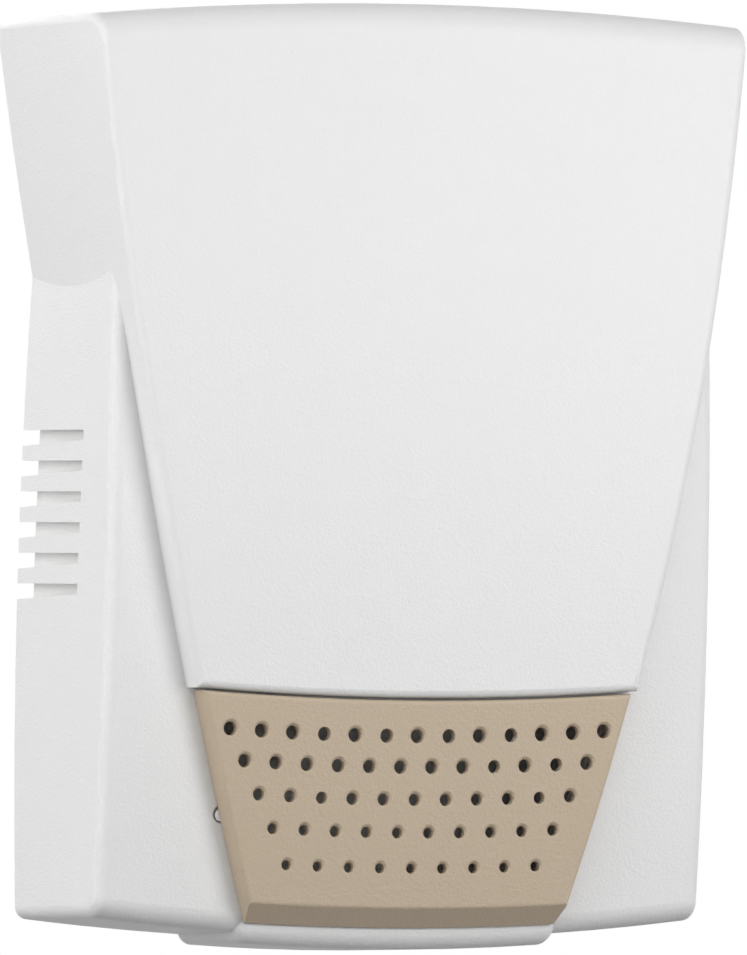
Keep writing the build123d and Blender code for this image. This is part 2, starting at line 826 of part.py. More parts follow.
def spring_path(height):
    """Helix of the spring as two tangent arcs to each quarter turn."""
    edges = []
    quarters = 4 * spring_turns
    for quarter in range(quarters):
        start, start_way = spring_point(quarter / 4, height)
        end, end_way = spring_point((quarter + 1) / 4, height)
        chord = end - start
        ways = start_way + end_way
        a = 2 * (start_way.dot(end_way) - 1)
        b = -2 * chord.dot(ways)
        c = chord.dot(chord)
        reach = (-b - (b * b - 4 * a * c) ** 0.5) / (2 * a)
        if reach < 0:
            reach = (-b + (b * b - 4 * a * c) ** 0.5) / (2 * a)
        first, last = start + start_way * reach, end - end_way * reach
        joint = (first + last) / 2
        edges.append(Edge.make_tangent_arc(start, start_way, joint))
        edges.append(Edge.make_tangent_arc(joint, last - first, end))
    return Wire(edges)


def spring_gap(height):
    """Least gap between neighbouring turns of the wire, measured on points."""
    steps = 24
    points = [spring_point(index / steps, height)[0] for index in range(spring_turns * steps + 1)]
    gaps = []
    for index, point in enumerate(points):
        for other in points[index + steps * 3 // 4 :]:
            gaps.append((point - other).length - 2 * spring_wire_radius)
    return min(gaps)


def make_spring(height):
    path = spring_path(height)
    start, way = spring_point(0, height)
    section = Plane(origin=start, z_dir=way) * Circle(spring_wire_radius)
    return sweep(section, path=path)


def make_stop_washer():
    x_end = frame_half_length + stop_washer
    washer = rod_x(stop_washer_radius, frame_half_length, x_end, rear_axis_height)
    return washer - rod_x(core_radius + frame_hole_clearance, frame_half_length, x_end, rear_axis_height)


def terminal_screw_length():
    return clamp_thickness + block_depth - base_floor - screw_bite / 2


def make_terminal_block():
    heights = (block_low_height, block_high_height)
    block = solid_box((-block_half_length, block_half_length), (base_floor, block_depth), heights)
    inner = terminal_spacing / 2
    for x in both_sides([inner]):
        xs = (x - barrier_width / 2, x + barrier_width / 2)
        block += solid_box(xs, (base_floor, block_depth + barrier_depth), heights)
    seat = block_depth - block_screw_head - touch
    for x in both_sides([block_screw_x]):
        block -= rod_y(block_screw_head_radius + touch, x, seat, block_depth + overrun, terminal_height)
        block -= rod_y(block_screw_radius, x, 0, block_depth, terminal_height)
    for x in terminal_xs:
        depth = block_depth + clamp_thickness - terminal_screw_length()
        block -= rod_y(screw_radius, x, depth, block_depth + overrun, terminal_height)
    return block


def make_clamp(x):
    half = clamp_side / 2
    clamp = solid_box(
        (x - half, x + half),
        (block_depth, block_depth + clamp_thickness),
        (terminal_height - half, terminal_height + half),
    )
    return clamp - rod_y(screw_radius, x, 0, block_depth + overrun, terminal_height)


def make_lead(points):
    """Insulated wire along straight runs joined by arcs."""
    if len(points) > 2:
        path = FilletPolyline(*points, radius=lead_bend)
    else:
        path = Line(*points)
    way = (points[1] - points[0]).normalized()
    section = Plane(origin=points[0], z_dir=way) * Circle(lead_radius)
    return sweep(section, path=path)


def coil_leads():
    """Leads from the fronts of the coils down to the terminals."""
    front = axis_depth + coil_radius + lead_radius + lead_clearance
    foot = block_depth + lead_radius + lead_clearance
    end = terminal_height + clamp_side / 2 + lead_clearance
    runs = [
        (-lead_side, front_axis_height, -terminal_spacing),
        (-lead_middle, rear_axis_height, 0),
        (lead_side, rear_axis_height, terminal_spacing),
    ]
    leads = []
    for x, height, terminal_x in runs:
        points = [
            at(x, front, height),
            at(x, front, lead_knee_height),
            at(terminal_x, foot, lead_foot_height),
            at(terminal_x, foot, end),
        ]
        leads.append(make_lead(points))
    jumper = [at(lead_jumper, front, front_axis_height), at(lead_jumper, front, rear_axis_height)]
    leads.append(make_lead(jumper))
    return leads


def all_nodes():
    """Every sub-part by name, as a list of solids."""
    nodes = {
        "base_plate": [make_base_plate()],
        "cover_shell": [make_cover_shell()],
        "grille": [make_grille()],
    }
    grommets, bar_screws = [], []
    for name, side, length in bar_list():
        nodes[name] = [make_tone_bar(side, length)]
        for height in still_points(length):
            grommets.append(make_grommet(side, height))
            bar_screws.append(make_bar_screw(side, height))
    nodes["tone_bar_grommets"] = grommets
    nodes["tone_bar_screws"] = bar_screws
    nodes["solenoid_frame"] = [make_solenoid_frame()]
    frame_screws = []
    for x, height in frame_screw_places():
        sizes = (screw_radius, screw_head_radius, screw_head, screw_bite)
        frame_screws.append(pan_screw(x, height, frame_face, *sizes))
    nodes["frame_screws"] = frame_screws
    clip_from = frame_half_length + stop_washer
    collar_from = -collar_near - collar_thickness
    plungers = [
        ("front", front_axis_height, (-1, 1), [collar_from], "tips"),
        ("rear", rear_axis_height, (1,), [collar_from, clip_from], "tip"),
    ]
    for name, height, ends, grooves, tips in plungers:
        nodes[f"{name}_bobbin"] = [make_bobbin(height)]
        nodes[f"{name}_coil"] = [make_coil(height)]
        nodes[f"{name}_plunger_core"] = [make_core(height, ends, grooves)]
        nodes[f"{name}_striker_{tips}"] = [make_tip(side, height) for side in ends]
        nodes[f"{name}_spring_collar"] = [make_collar(collar_from, height)]
        nodes[f"{name}_return_spring"] = [make_spring(height)]
    nodes["rear_stop_clip"] = [make_collar(clip_from, rear_axis_height)]
    nodes["rear_stop_washer"] = [make_stop_washer()]
    nodes["terminal_block"] = [make_terminal_block()]
    nodes["terminal_clamps"] = [make_clamp(x) for x in terminal_xs]
    clamp_face = block_depth + clamp_thickness
    sizes = (screw_radius, screw_head_radius, screw_head, terminal_screw_length())
    nodes["terminal_screws"] = [pan_screw(x, terminal_height, clamp_face, *sizes) for x in terminal_xs]
    seat = block_depth - block_screw_head - touch
    sizes = (block_screw_radius, block_screw_head_radius, block_screw_head, seat - block_screw_end)
    block_screw_xs = both_sides([block_screw_x])
    nodes["terminal_block_screws"] = [pan_screw(x, terminal_height, seat, *sizes) for x in block_screw_xs]
    nodes["coil_leads"] = coil_leads()
    return nodes


if __name__ == "__main__":
    os.makedirs("parts", exist_ok=True)
    for name, solids in all_nodes().items():
        lowered = [Pos(0, 0, -datum_height) * solid for piece in solids for solid in piece.solids()]
        export_step(lowered[0] if len(lowered) == 1 else Compound(lowered), f"parts/{name}.step")
    print("least gap of a return spring to itself:", round(spring_gap(front_axis_height), 2))
    print("bend radius of the coil leads:", lead_bend)
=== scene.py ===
"""Looks of the wall-mounted two-note door chime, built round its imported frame."""

import math

import bpy
from mathutils import Matrix, Vector


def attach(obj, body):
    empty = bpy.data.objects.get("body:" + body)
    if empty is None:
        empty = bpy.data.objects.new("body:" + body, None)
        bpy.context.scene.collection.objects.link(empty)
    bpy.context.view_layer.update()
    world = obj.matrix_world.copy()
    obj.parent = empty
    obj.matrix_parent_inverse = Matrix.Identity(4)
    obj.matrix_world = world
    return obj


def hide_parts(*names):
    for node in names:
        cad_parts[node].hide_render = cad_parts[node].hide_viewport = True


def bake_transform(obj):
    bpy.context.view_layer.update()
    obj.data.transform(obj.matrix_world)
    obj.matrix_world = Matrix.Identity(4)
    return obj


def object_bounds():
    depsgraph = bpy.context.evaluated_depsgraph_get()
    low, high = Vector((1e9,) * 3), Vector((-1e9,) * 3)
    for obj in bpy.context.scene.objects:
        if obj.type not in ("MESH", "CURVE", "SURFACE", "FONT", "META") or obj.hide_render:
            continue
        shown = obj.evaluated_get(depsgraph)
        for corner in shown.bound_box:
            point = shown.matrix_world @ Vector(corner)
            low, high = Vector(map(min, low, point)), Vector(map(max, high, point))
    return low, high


MM = 0.001

# Camera: the photograph was taken from the left front, a little below the middle.
CAMERA_AZIMUTH = -25.8
CAMERA_ELEVATION = -1.6
CAMERA_DISTANCE = 4.5
CAMERA_SCALE = 4.99 / MM
CAMERA_TARGET = (-0.00036, -0.0198, -0.00036)
SENSOR = 36.0
PHOTO_HEIGHT = 955

# Stage: the chime hangs well above a white floor.
FLOOR_DROP = 0.75
FLOOR_SIZE = 14.0
FLOOR_BOUNCE = 0.25
FLOOR_GLOW = 0.5

# Lamps: (name, azimuth, elevation, distance, size, power in watts).
LAMPS = [
    ("near_softbox", 30, 8, 0.8, 0.45, 3.45),
    ("high_softbox", -20, 38, 1.5, 1.0, 2.6),
    ("front_left_softbox", -52, 8, 0.8, 0.8, 1.8),
    ("left_softbox", -86, 12, 0.8, 0.8, 4.0),
    ("right_softbox", 82, 5, 1.5, 1.0, 2.0),
    ("back_softbox", 180, 25, 1.6, 1.0, 6.0),
]
WORLD_STRENGTH = 0.18

# Depth of the moulded grain and of the lines in metal, reach of the shade painted into narrow
# corners, and the distance under which mesh points are merged.
GRAIN_DEPTH = 0.13 * MM
LINE_DEPTH = 0.02 * MM
CORNER_SHADE_REACH = 1.5 * MM
MERGE_DISTANCE = 0.001 * MM

# Places of the part that the fittings below are made to, in metres.
FLOOR_FACE = -0.0025
DATUM = 0.095
CORE_LINE = -0.018
COIL_RADIUS = 0.0095
COIL_HALF = 0.0221
COIL_HEIGHTS = {"front": 0.134 - DATUM, "rear": 0.106 - DATUM}
LEAD_DEPTH = -0.02815
CLAMP_FACE = -0.012
CLAMP_HEIGHT = 0.0725 - DATUM
TERMINAL_XS = (-0.015, 0.0, 0.015)
CATCH_X = 0.0404
CATCH_HEIGHT = 0.0266 - DATUM
CATCH_FACE = -0.03285
CATCH_BACK = -0.0307

# Ejector marks on the floor of the wall plate: (x, height) in millimetres.
EJECTOR_PLACES = [(-40, 55), (40, 82), (-40, 82), (-38, 160), (38, 160), (-24, 32), (24, 32), (0, 178)]
MARK_RADIUS = 2.6 * MM
MARK_HEIGHT = 0.14 * MM
MARK_SUNK = 0.05 * MM
MARK_RIM = 0.3 * MM
MARK_DIP = 0.07 * MM

# Turns of wire that show at the end of a coil: (inward, drop) from the edge of the coil, in millimetres.
WIRE_RADIUS = 0.17 * MM
WIRE_ROWS = [(0.15, 0.55), (0.45, 0.27), (0.8, 0.1)]
WIRE_STEPS = 72

# Tape round a coil.
TAPE_THICKNESS = 0.12 * MM
TAPE_LIFT = 0.02 * MM
TAPE_INSET = 1.4 * MM

# Shrunk sleeve on a lead, its narrowed end and its hollow lower end.
SLEEVE_X = -0.019
SLEEVE_RADIUS = 0.85 * MM
SLEEVE_LENGTH = 5.2 * MM
SLEEVE_RISE = 0.4 * MM
SLEEVE_NECK = 0.25 * MM
SLEEVE_TIP = 0.12 * MM
SLEEVE_WALL = 0.15 * MM
SLEEVE_HOLLOW = 0.2 * MM

# Offsets of the other leads from the left one, in metres.
MIDDLE_LEAD = 0.013
RIGHT_LEAD = 0.038
JUMPER_LEAD = 0.031

# Teeth of the clamp plates.
TOOTH_RADIUS = 0.3 * MM
TOOTH_LENGTH = 7.4 * MM
TOOTH_BITE = 0.45 * MM
TOOTH_RISE = 3.3 * MM
TOOTH_PITCH = 0.75 * MM
TOOTH_INSET = 0.06 * MM
TOOTH_ROW_DROP = 7.35 * MM

# Plug of the catch holes.
PLUG_RADIUS = 1.3 * MM
PLUG_FLANGE = 0.7 * MM
PLUG_FLANGE_SHARE = 1.7
PLUG_RIM = 0.22 * MM
PLUG_CROWN = 0.12 * MM


def deselect_all():
    bpy.ops.object.select_all(action="DESELECT")


def make_active(piece):
    """Selects one piece alone."""
    deselect_all()
    piece.select_set(True)
    bpy.context.view_layer.objects.active = piece


def direction(azimuth, elevation):
    """Unit vector from the chime towards a place round it."""
    a, e = math.radians(azimuth), math.radians(elevation)
    return Vector((math.sin(a) * math.cos(e), -math.cos(a) * math.cos(e), math.sin(e)))


# Node groups shared by the materials.


def open_group(name, inputs, outputs):
    """New shader node group with named sockets, and its input and output nodes."""
    group = bpy.data.node_groups.new(name, "ShaderNodeTree")
    for label, kind, value in inputs:
        socket = group.interface.new_socket(label, in_out="INPUT", socket_type=kind)
        socket.default_value = value
    for label, kind in outputs:
        group.interface.new_socket(label, in_out="OUTPUT", socket_type=kind)
    entry = group.nodes.new("NodeGroupInput")
    leave = group.nodes.new("NodeGroupOutput")
    return group, entry, leave


def noise(tree, vector, scale, detail=2.0):
    """Noise texture on a vector, with its scale linked or set."""
    node = tree.nodes.new("ShaderNodeTexNoise")
    node.inputs["Detail"].default_value = detail
    tree.links.new(vector, node.inputs["Vector"])
    if isinstance(scale, (int, float)):
        node.inputs["Scale"].default_value = scale
    else:
        tree.links.new(scale, node.inputs["Scale"])
    return node.outputs["Fac"]


def arithmetic(tree, operation, first, second=None, third=None):
    """Math node whose inputs are sockets or numbers."""
    node = tree.nodes.new("ShaderNodeMath")
    node.operation = operation
    for socket, value in zip(node.inputs, (first, second, third)):
        if value is None:
            continue
        if isinstance(value, (int, float)):
            socket.default_value = value
        else:
            tree.links.new(value, socket)
    return node.outputs[0]


def spark_grain_group():
    """Fine grain of a spark-eroded mould, with a slow mottle of its gloss."""
    inputs = [
        ("Vector", "NodeSocketVector", (0, 0, 0)),
        ("Grain Scale", "NodeSocketFloat", 2400.0),
        ("Mottle Scale", "NodeSocketFloat", 60.0),
        ("Mottle", "NodeSocketFloat", 0.5),
    ]
    outputs = [("Height", "NodeSocketFloat"), ("Mottle", "NodeSocketFloat")]
    group, entry, leave = open_group("spark_grain", inputs, outputs)
    vector = entry.outputs["Vector"]
    fine = noise(group, vector, entry.outputs["Grain Scale"], 3.0)
    coarse_scale = arithmetic(group, "MULTIPLY", entry.outputs["Grain Scale"], 0.37)
    coarse = noise(group, vector, coarse_scale, 1.0)
    height = arithmetic(group, "ADD", fine, coarse)
    group.links.new(height, leave.inputs["Height"])
    slow = noise(group, vector, entry.outputs["Mottle Scale"], 3.0)
    centred = arithmetic(group, "SUBTRACT", slow, 0.5)
    mottle = arithmetic(group, "MULTIPLY", centred, entry.outputs["Mottle"])
    group.links.new(mottle, leave.inputs["Mottle"])
    return group


def brushed_group():
    """Fine lines along one axis, as rolled or drawn metal has."""
    inputs = [
        ("Vector", "NodeSocketVector", (0, 0, 0)),
        ("Stretch", "NodeSocketVector", (1, 1, 30)),
        ("Line Scale", "NodeSocketFloat", 900.0),
        ("Tarnish", "NodeSocketFloat", 0.3),
    ]
    outputs = [("Height", "NodeSocketFloat"), ("Tarnish", "NodeSocketFloat")]
    group, entry, leave = open_group("brushed_lines", inputs, outputs)
    divide = group.nodes.new("ShaderNodeVectorMath")
    divide.operation = "DIVIDE"
    group.links.new(entry.outputs["Vector"], divide.inputs[0])
    group.links.new(entry.outputs["Stretch"], divide.inputs[1])
    lines = noise(group, divide.outputs[0], entry.outputs["Line Scale"], 4.0)
    group.links.new(lines, leave.inputs["Height"])
    slow = noise(group, entry.outputs["Vector"], 120.0, 4.0)
    centred = arithmetic(group, "SUBTRACT", slow, 0.5)
    tarnish = arithmetic(group, "MULTIPLY", centred, entry.outputs["Tarnish"])
    group.links.new(tarnish, leave.inputs["Tarnish"])
    return group


GRAIN = spark_grain_group()
BRUSHED = brushed_group()


def srgb(red, green, blue):
    """Linear colour of an 8-bit display colour."""
    channels = []
    for value in (red, green, blue):
        share = value / 255
        channels.append(share / 12.92 if share <= 0.04045 else ((share + 0.055) / 1.055) ** 2.4)
    return (*channels, 1.0)


def new_material(name):
    """Material with its tree, its Principled shader and the object coordinates."""
    material = bpy.data.materials.new(name)
    material.use_nodes = True
    tree = material.node_tree
    shader = tree.nodes["Principled BSDF"]
    coordinates = tree.nodes.new("ShaderNodeTexCoord").outputs["Object"]
    return material, tree, shader, coordinates


def varied_colour(tree, shader, colour, offset, spread, corner_shade_reach=0.0, painted_corner_shade=0.0):
    """Base colour whose brightness follows a slow mask, with painted shade darkening narrow corners."""
    node = tree.nodes.new("ShaderNodeHueSaturation")
    node.inputs["Color"].default_value = colour
    value = arithmetic(tree, "MULTIPLY_ADD", offset, spread, 1.0)
    # Painted shade: the colour is darkened where an ambient occlusion node finds a narrow corner.
    if painted_corner_shade:
        corner = tree.nodes.new("ShaderNodeAmbientOcclusion")
        corner.samples = 8
        corner.inputs["Distance"].default_value = corner_shade_reach
        painted_shade_factor = arithmetic(tree, "MULTIPLY_ADD", corner.outputs["AO"], painted_corner_shade, 1.0 - painted_corner_shade)
        value = arithmetic(tree, "MULTIPLY", value, painted_shade_factor)
    tree.links.new(value, node.inputs["Value"])
    tree.links.new(node.outputs["Color"], shader.inputs["Base Color"])


def bumped(tree, shader, height, strength, distance, edge_round=0.0):
    """Normal of the shader from a height, over edges softened by a small round."""
    bump = tree.nodes.new("ShaderNodeBump")
    bump.inputs["Strength"].default_value = strength
    bump.inputs["Distance"].default_value = distance
    if edge_round:
        edge = tree.nodes.new("ShaderNodeBevel")
        edge.samples = 6
        edge.inputs["Radius"].default_value = edge_round
        tree.links.new(edge.outputs["Normal"], bump.inputs["Normal"])
    tree.links.new(height, bump.inputs["Height"])
    tree.links.new(bump.outputs["Normal"], shader.inputs["Normal"])


def moulded_plastic(name, colour, roughness, grain=2400.0, relief=0.15, mottle=0.5, painted_corner_shade=0.0,
                    edge_round=0.0):
    """Moulded plastic with the fine grain of its tool, and painted shade in narrow corners if asked."""
    material, tree, shader, coordinates = new_material(name)
    group = tree.nodes.new("ShaderNodeGroup")
    group.node_tree = GRAIN
    tree.links.new(coordinates, group.inputs["Vector"])
    group.inputs["Grain Scale"].default_value = grain
    group.inputs["Mottle"].default_value = mottle
    varied_colour(tree, shader, colour, group.outputs["Mottle"], 0.06, CORNER_SHADE_REACH, painted_corner_shade)
    gloss = arithmetic(tree, "MULTIPLY_ADD", group.outputs["Mottle"], 0.2, roughness)
    tree.links.new(gloss, shader.inputs["Roughness"])
    bumped(tree, shader, group.outputs["Height"], relief, GRAIN_DEPTH, edge_round)
    shader.inputs["IOR"].default_value = 1.5
    return material


def worked_metal(name, colour, roughness, stretch, relief=0.3, tarnish=0.3):
    """Metal with fine lines of its rolling, turning or drawing."""
    material, tree, shader, coordinates = new_material(name)
    group = tree.nodes.new("ShaderNodeGroup")
    group.node_tree = BRUSHED
    tree.links.new(coordinates, group.inputs["Vector"])
    group.inputs["Stretch"].default_value = stretch
    group.inputs["Tarnish"].default_value = tarnish
    varied_colour(tree, shader, colour, group.outputs["Tarnish"], 0.5)
    gloss = arithmetic(tree, "MULTIPLY_ADD", group.outputs["Tarnish"], 0.6, roughness)
    tree.links.new(gloss, shader.inputs["Roughness"])
    bumped(tree, shader, group.outputs["Height"], relief, LINE_DEPTH)
    shader.inputs["Metallic"].default_value = 1.0
    return material


def copied_node(frame, node, name):
    """Own merged copy of a CAD node's mesh."""
    source = frame["nodes"][node]
    piece = bpy.data.objects.new(name, source.data.copy())
    bpy.context.collection.objects.link(piece)
    make_active(piece)
    bpy.ops.object.mode_set(mode="EDIT")
    bpy.ops.mesh.select_all(action="SELECT")
    bpy.ops.mesh.remove_doubles(threshold=MERGE_DISTANCE)
    bpy.ops.object.mode_set(mode="OBJECT")
    return piece


def paint(piece, material):
    """Gives a piece one material."""
    piece.data.materials.clear()
    piece.data.materials.append(material)


def paint_node(frame, node, material):
    """Gives every slot of a CAD node one material."""
    for slot in frame["nodes"][node].material_slots:
        slot.material = material


def settle(piece):
    """Puts the place and turn of a piece into its mesh."""
    make_active(piece)
    bpy.ops.object.transform_apply(location=True, rotation=True, scale=True)


def edit(piece, mode):
    """Opens the mesh of a piece in edit mode with nothing selected."""
    make_active(piece)
    bpy.ops.object.mode_set(mode="EDIT")
    bpy.ops.mesh.select_mode(type=mode)
    bpy.ops.mesh.select_all(action="DESELECT")
    bpy.ops.object.mode_set(mode="OBJECT")


def pick_faces(piece, wanted):
    """Selects the faces whose middle and normal are wanted, and stays in edit mode."""
    edit(piece, "FACE")
    for face in piece.data.polygons:
        face.select = wanted(face.center, face.normal)
    bpy.ops.object.mode_set(mode="EDIT")


def finish_mesh(piece, angle=35):
    """Merges doubles, points the faces outwards and smooths the curved ones."""
    make_active(piece)
    bpy.ops.object.mode_set(mode="EDIT")
    bpy.ops.mesh.select_all(action="SELECT")
    bpy.ops.mesh.remove_doubles(threshold=MERGE_DISTANCE)
    bpy.ops.mesh.normals_make_consistent(inside=False)
    bpy.ops.object.mode_set(mode="OBJECT")
    bpy.ops.object.shade_smooth_by_angle(angle=math.radians(angle))


def apply_all(piece):
    """Applies the modifiers of a piece in their order."""
    make_active(piece)
    for modifier in list(piece.modifiers):
        bpy.ops.object.modifier_apply(modifier=modifier.name)


def copy_at(piece, name, offset, turn=None):
    """Copy of a finished piece with a mesh of its own, at another place."""
    twin = bpy.data.objects.new(name, piece.data.copy())
    bpy.context.collection.objects.link(twin)
    if turn is not None:
        twin.data.transform(turn)
    twin.data.transform(Matrix.Translation(offset))
    return twin


def fix(piece, body, material):
    """Fixes a finished fitting to a body and gives it its finish."""
    paint(piece, material)
    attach(piece, body)


def on_base(piece, material):
    """A fitting that is fixed to the wall plate."""
    fix(piece, "base", material)


def make_winding_edge():
    """Three turns of enamelled wire that show at the left end of the front coil."""
    height = COIL_HEIGHTS["front"]
    deselect_all()
    bpy.ops.mesh.primitive_circle_add(vertices=10, radius=WIRE_RADIUS, rotation=(math.pi / 2, 0, 0))
    turns = bpy.context.active_object
    turns.name = "front_coil_turns_left"
    settle(turns)
    section = turns.data.copy()
    places = [
        Matrix.Translation((-COIL_HALF + inward * MM, CORE_LINE, height + COIL_RADIUS - drop * MM))
        for inward, drop in WIRE_ROWS
    ]
    turns.data.transform(places[0])
    extra = []
    for place in places[1:]:
        piece = bpy.data.objects.new("turn", section.copy())
        bpy.context.collection.objects.link(piece)
        piece.data.transform(place)
        extra.append(piece)
    make_active(turns)
    for piece in extra:
        piece.select_set(True)
    bpy.ops.object.join()
    make_active(turns)
    bpy.ops.object.mode_set(mode="EDIT")
    bpy.ops.mesh.select_all(action="SELECT")
    bpy.ops.mesh.spin(steps=WIRE_STEPS, angle=2 * math.pi, center=(0, CORE_LINE, height), axis=(1, 0, 0))
    bpy.ops.object.mode_set(mode="OBJECT")
    finish_mesh(turns, 60)
    return turns


def make_tape_wrap(side):
    """Outer turn of tape, whose free end lies along the front of the coil."""
    height = COIL_HEIGHTS[side]
    deselect_all()
    bpy.ops.mesh.primitive_cylinder_add(
        vertices=120,
        radius=COIL_RADIUS + TAPE_LIFT,
        depth=2 * (COIL_HALF - TAPE_INSET),
        end_fill_type="NOTHING",
        location=(0, CORE_LINE, height),
        rotation=(0, math.pi / 2, 0),
    )
    wrap = bpy.context.active_object
    wrap.name = f"{side}_coil_tape_wrap"
    settle(wrap)

    def beyond_end(middle, normal):
        return normal.y < 0 and -0.1 < normal.z < 0.55

    pick_faces(wrap, beyond_end)
    bpy.ops.mesh.delete(type="FACE")
    bpy.ops.object.mode_set(mode="OBJECT")
    wall = wrap.modifiers.new("tape", "SOLIDIFY")
    wall.thickness = TAPE_THICKNESS
    wall.offset = 1.0
    apply_all(wrap)
    finish_mesh(wrap, 40)
    return wrap


def make_lead_sleeve():
    """Shrunk sleeve over the joint at the upper end of the left lead."""
    top = COIL_HEIGHTS["front"] + SLEEVE_RISE
    deselect_all()
    bpy.ops.mesh.primitive_cylinder_add(
        vertices=24,
        radius=SLEEVE_RADIUS,
        depth=SLEEVE_LENGTH,
        location=(SLEEVE_X, LEAD_DEPTH, top - SLEEVE_LENGTH / 2),
    )
    sleeve = bpy.context.active_object
    sleeve.name = "left_lead_sleeve"
    settle(sleeve)
    pick_faces(sleeve, lambda middle, normal: normal.z > 0.9)
    bpy.ops.mesh.extrude_region_move(TRANSFORM_OT_translate={"value": (0, 0, SLEEVE_NECK)})
    bpy.ops.transform.resize(value=(0.8, 0.8, 1), center_override=(SLEEVE_X, LEAD_DEPTH, top + SLEEVE_NECK))
    bpy.ops.mesh.extrude_region_move(TRANSFORM_OT_translate={"value": (0, 0, SLEEVE_TIP)})
    tip = top + SLEEVE_NECK + SLEEVE_TIP
    bpy.ops.transform.resize(value=(0.4, 0.4, 1), center_override=(SLEEVE_X, LEAD_DEPTH, tip))
    bpy.ops.object.mode_set(mode="OBJECT")
    pick_faces(sleeve, lambda middle, normal: normal.z < -0.9)
    bpy.ops.mesh.inset(thickness=SLEEVE_WALL)
    bpy.ops.transform.translate(value=(0, 0, SLEEVE_HOLLOW))
    bpy.ops.object.mode_set(mode="OBJECT")
    finish_mesh(sleeve, 50)
    return sleeve


def make_clamp_tooth():
    """Ridge across a clamp plate that bites on the wire."""
    deselect_all()
    bpy.ops.mesh.primitive_cylinder_add(
        vertices=3, radius=TOOTH_RADIUS, depth=TOOTH_LENGTH, rotation=(0, math.pi / 2, 0)
    )
    tooth = bpy.context.active_object
    tooth.name = "clamp_teeth_left"
    settle(tooth)
    pick_faces(tooth, lambda middle, normal: abs(normal.x) > 0.9)
    bpy.ops.mesh.inset(thickness=TOOTH_INSET, use_individual=True)
    bpy.ops.object.mode_set(mode="OBJECT")
    low = min(vertex.co.y for vertex in tooth.data.vertices)
    place = (TERMINAL_XS[0], CLAMP_FACE - low - TOOTH_BITE, CLAMP_HEIGHT + TOOTH_RISE)
    tooth.data.transform(Matrix.Translation(place))
    rows = tooth.modifiers.new("row", "ARRAY")
    rows.count = 2
    rows.use_relative_offset = False
    rows.use_constant_offset = True
    rows.constant_offset_displace = (0, 0, TOOTH_PITCH)
    apply_all(tooth)
    return tooth


def make_ejector_mark(x, height):
    """Faint raised ring that an ejector pin leaves on the floor of the wall plate."""
    deselect_all()
    bpy.ops.mesh.primitive_circle_add(
        vertices=32, radius=MARK_RADIUS, fill_type="NGON", rotation=(math.pi / 2, 0, 0)
    )
    mark = bpy.context.active_object
    mark.name = f"ejector_mark_{EJECTOR_PLACES.index((x, height))}"
    settle(mark)
    mark.data.transform(Matrix.Translation((x * MM, FLOOR_FACE + MARK_SUNK, height * MM - DATUM)))
    pick_faces(mark, lambda middle, normal: True)
    bpy.ops.mesh.extrude_region_move(TRANSFORM_OT_translate={"value": (0, -MARK_HEIGHT, 0)})
    bpy.ops.mesh.inset(thickness=MARK_RIM)
    bpy.ops.transform.translate(value=(0, MARK_DIP, 0))
    bpy.ops.object.mode_set(mode="OBJECT")
    finish_mesh(mark)
    return mark


def make_catch_plug():
    """Moulded plug that fills the left catch hole, with its flange behind the wall."""
    middle_y = (CATCH_FACE + CATCH_BACK) / 2
    deselect_all()
    bpy.ops.mesh.primitive_cylinder_add(
        vertices=40,
        radius=PLUG_RADIUS,
        depth=CATCH_BACK - CATCH_FACE,
        location=(-CATCH_X, middle_y, CATCH_HEIGHT),
        rotation=(math.pi / 2, 0, 0),
    )
    plug = bpy.context.active_object
    plug.name = "catch_plug_left"
    settle(plug)
    pick_faces(plug, lambda middle, normal: normal.y > 0.9)
    bpy.ops.mesh.extrude_region_move(TRANSFORM_OT_translate={"value": (0, 0, 0)})
    spread = (PLUG_FLANGE_SHARE, 1, PLUG_FLANGE_SHARE)
    bpy.ops.transform.resize(value=spread, center_override=(-CATCH_X, CATCH_BACK, CATCH_HEIGHT))
    bpy.ops.mesh.extrude_region_move(TRANSFORM_OT_translate={"value": (0, PLUG_FLANGE, 0)})
    bpy.ops.object.mode_set(mode="OBJECT")
    pick_faces(plug, lambda middle, normal: normal.y < -0.9)
    bpy.ops.mesh.inset(thickness=PLUG_RIM)
    bpy.ops.transform.translate(value=(0, -PLUG_CROWN, 0))
    bpy.ops.object.mode_set(mode="OBJECT")
    finish_mesh(plug)
    return plug


def make_camera():
    """Camera of the photograph."""
    data = bpy.data.cameras.new("photo_camera")
    data.sensor_width = SENSOR
    focal_pixels = CAMERA_SCALE * CAMERA_DISTANCE
    data.lens = focal_pixels * SENSOR / PHOTO_HEIGHT
    data.clip_end = 100
    camera = bpy.data.objects.new("photo_camera", data)
    bpy.context.scene.collection.objects.link(camera)
    target = Vector(CAMERA_TARGET)
    towards = direction(CAMERA_AZIMUTH, CAMERA_ELEVATION)
    turn = towards.to_track_quat("Z", "Y").to_matrix().to_4x4()
    camera.matrix_world = Matrix.Translation(target + towards * CAMERA_DISTANCE) @ turn
    bpy.context.scene.camera = camera


def make_lamp(name, azimuth, elevation, distance, size, power):
    """Soft square lamp that looks at the chime."""
    data = bpy.data.lights.new(name, "AREA")
    data.size = size
    data.energy = power
    lamp = bpy.data.objects.new(name, data)
    bpy.context.scene.collection.objects.link(lamp)
    towards = direction(azimuth, elevation)
    turn = towards.to_track_quat("Z", "Y").to_matrix().to_4x4()
    lamp.matrix_world = Matrix.Translation(towards * distance) @ turn


def seen_directly(tree):
    """1 for camera, mirror and see-through rays, 0 for the rays that only carry light."""
    path = tree.nodes.new("ShaderNodeLightPath")
    glossy, clear = path.outputs["Is Glossy Ray"], path.outputs["Is Transmission Ray"]
    mirrored = arithmetic(tree, "MAXIMUM", glossy, clear)
    return arithmetic(tree, "MAXIMUM", path.outputs["Is Camera Ray"], mirrored)


